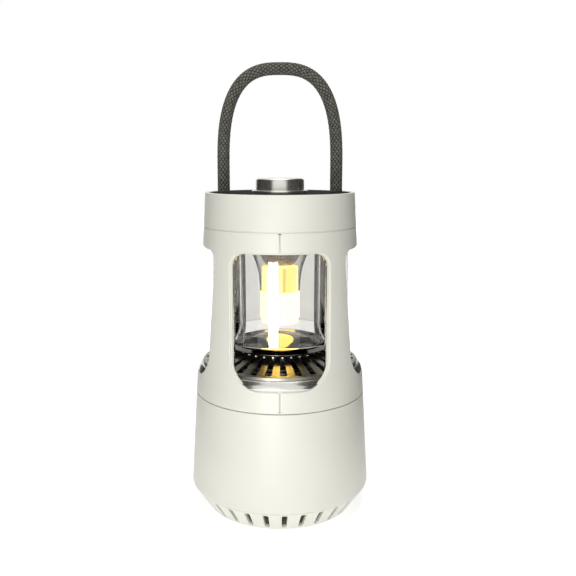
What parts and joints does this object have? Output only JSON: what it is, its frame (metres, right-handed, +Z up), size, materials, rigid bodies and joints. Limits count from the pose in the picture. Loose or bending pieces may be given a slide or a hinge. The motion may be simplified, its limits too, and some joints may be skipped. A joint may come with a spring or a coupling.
{
  "type": "electric bug zapper",
  "caption": "Lantern-shaped rechargeable bug zapper with a lamp in double glass, a slotted intake cone, a suction fan, a lift-off insect drum and a rope handle.",
  "frame": {"origin": "centre of the circle that the four foot pads stand on, at floor height", "axes": "+Z up along the body's axis, -Y out of the front window, +Y out of the charging port, and the rope handle's arch in the XZ plane"},
  "size_m": [0.112, 0.112, 0.2736],
  "materials": {
    "cream_shell": "satin",
    "charcoal_plastic": "matte",
    "dark_mirror": "polished",
    "bright_plate": "polished",
    "satin_silver": "satin",
    "clear_glass": "gloss",
    "amber_plastic": "gloss",
    "diffuser_plastic": "satin",
    "rope": "matte",
    "black_rubber": "matte",
    "steel": "satin",
    "circuit_board": "satin",
    "black_plastic": "satin",
    "cell_jacket": "satin",
    "led_epoxy": "gloss"
  },
  "bodies": {
    "base": {"collection_drum": "cream_shell", "bottom_grille": "cream_shell", "insect_screen": "steel", "drum_seal": "black_rubber", "grille_screw_1": "steel", "grille_screw_2": "steel", "grille_screw_3": "steel", "foot_1": "black_rubber", "foot_2": "black_rubber", "foot_3": "black_rubber", "foot_4": "black_rubber"},
    "head": {"cage_left": "cream_shell", "cage_right": "cream_shell", "inner_frame": "dark_mirror", "silver_ring": "satin_silver", "intake_cone": "dark_mirror", "reflector_dish": "dark_mirror", "glass_chimney": "clear_glass", "glass_shade": "clear_glass", "light_guide_horn": "clear_glass", "amber_sleeve": "amber_plastic", "led_reflector": "dark_mirror", "lamp_diffuser": "diffuser_plastic", "diffuser_end_cap": "diffuser_plastic", "ceiling_plate": "charcoal_plastic", "led_board": "circuit_board", "uv_led_1": "led_epoxy", "uv_led_2": "led_epoxy", "uv_led_3": "led_epoxy", "uv_led_4": "led_epoxy", "electrode_frame": "black_plastic", "electrode_live": "steel", "electrode_ground": "steel", "fan_housing": "black_plastic", "fan_motor": "steel", "housing_screw_1": "steel", "housing_screw_2": "steel", "housing_screw_3": "steel", "housing_screw_4": "steel", "cap_ring": "cream_shell", "top_plate": "charcoal_plastic", "button_bezel": "bright_plate", "button_spring": "steel", "tact_switch": "black_plastic", "control_board": "circuit_board", "high_voltage_module": "black_plastic", "electronics_tray": "black_plastic", "battery_cell_1": "cell_jacket", "battery_cell_2": "cell_jacket", "charging_port": "steel", "cap_screw_1": "steel", "cap_screw_2": "steel", "cap_screw_3": "steel", "cap_screw_4": "steel", "rope_handle": "rope", "rope_ferrule_1": "steel", "rope_ferrule_2": "steel"},
    "impeller": {"fan_impeller": "black_plastic", "motor_shaft": "steel"},
    "button": {"power_button": "bright_plate"}
  },
  "joints": [
    {"name": "head_lift", "type": "slide", "parent": "base", "child": "head", "axis": [0, 0, 1], "range_m": [0, 0.08]},
    {"name": "fan_spin", "type": "hinge", "parent": "head", "child": "impeller", "pos_m": [0, 0, 0.075], "axis": [0, 0, 1], "continuous": true},
    {"name": "button_press", "type": "slide", "parent": "head", "child": "button", "axis": [0, 0, -1], "range_m": [0, 0.0012], "stiffness_N_per_m": 1000, "springref_m": -0.002, "deforming": ["button_spring"]}
  ]
}
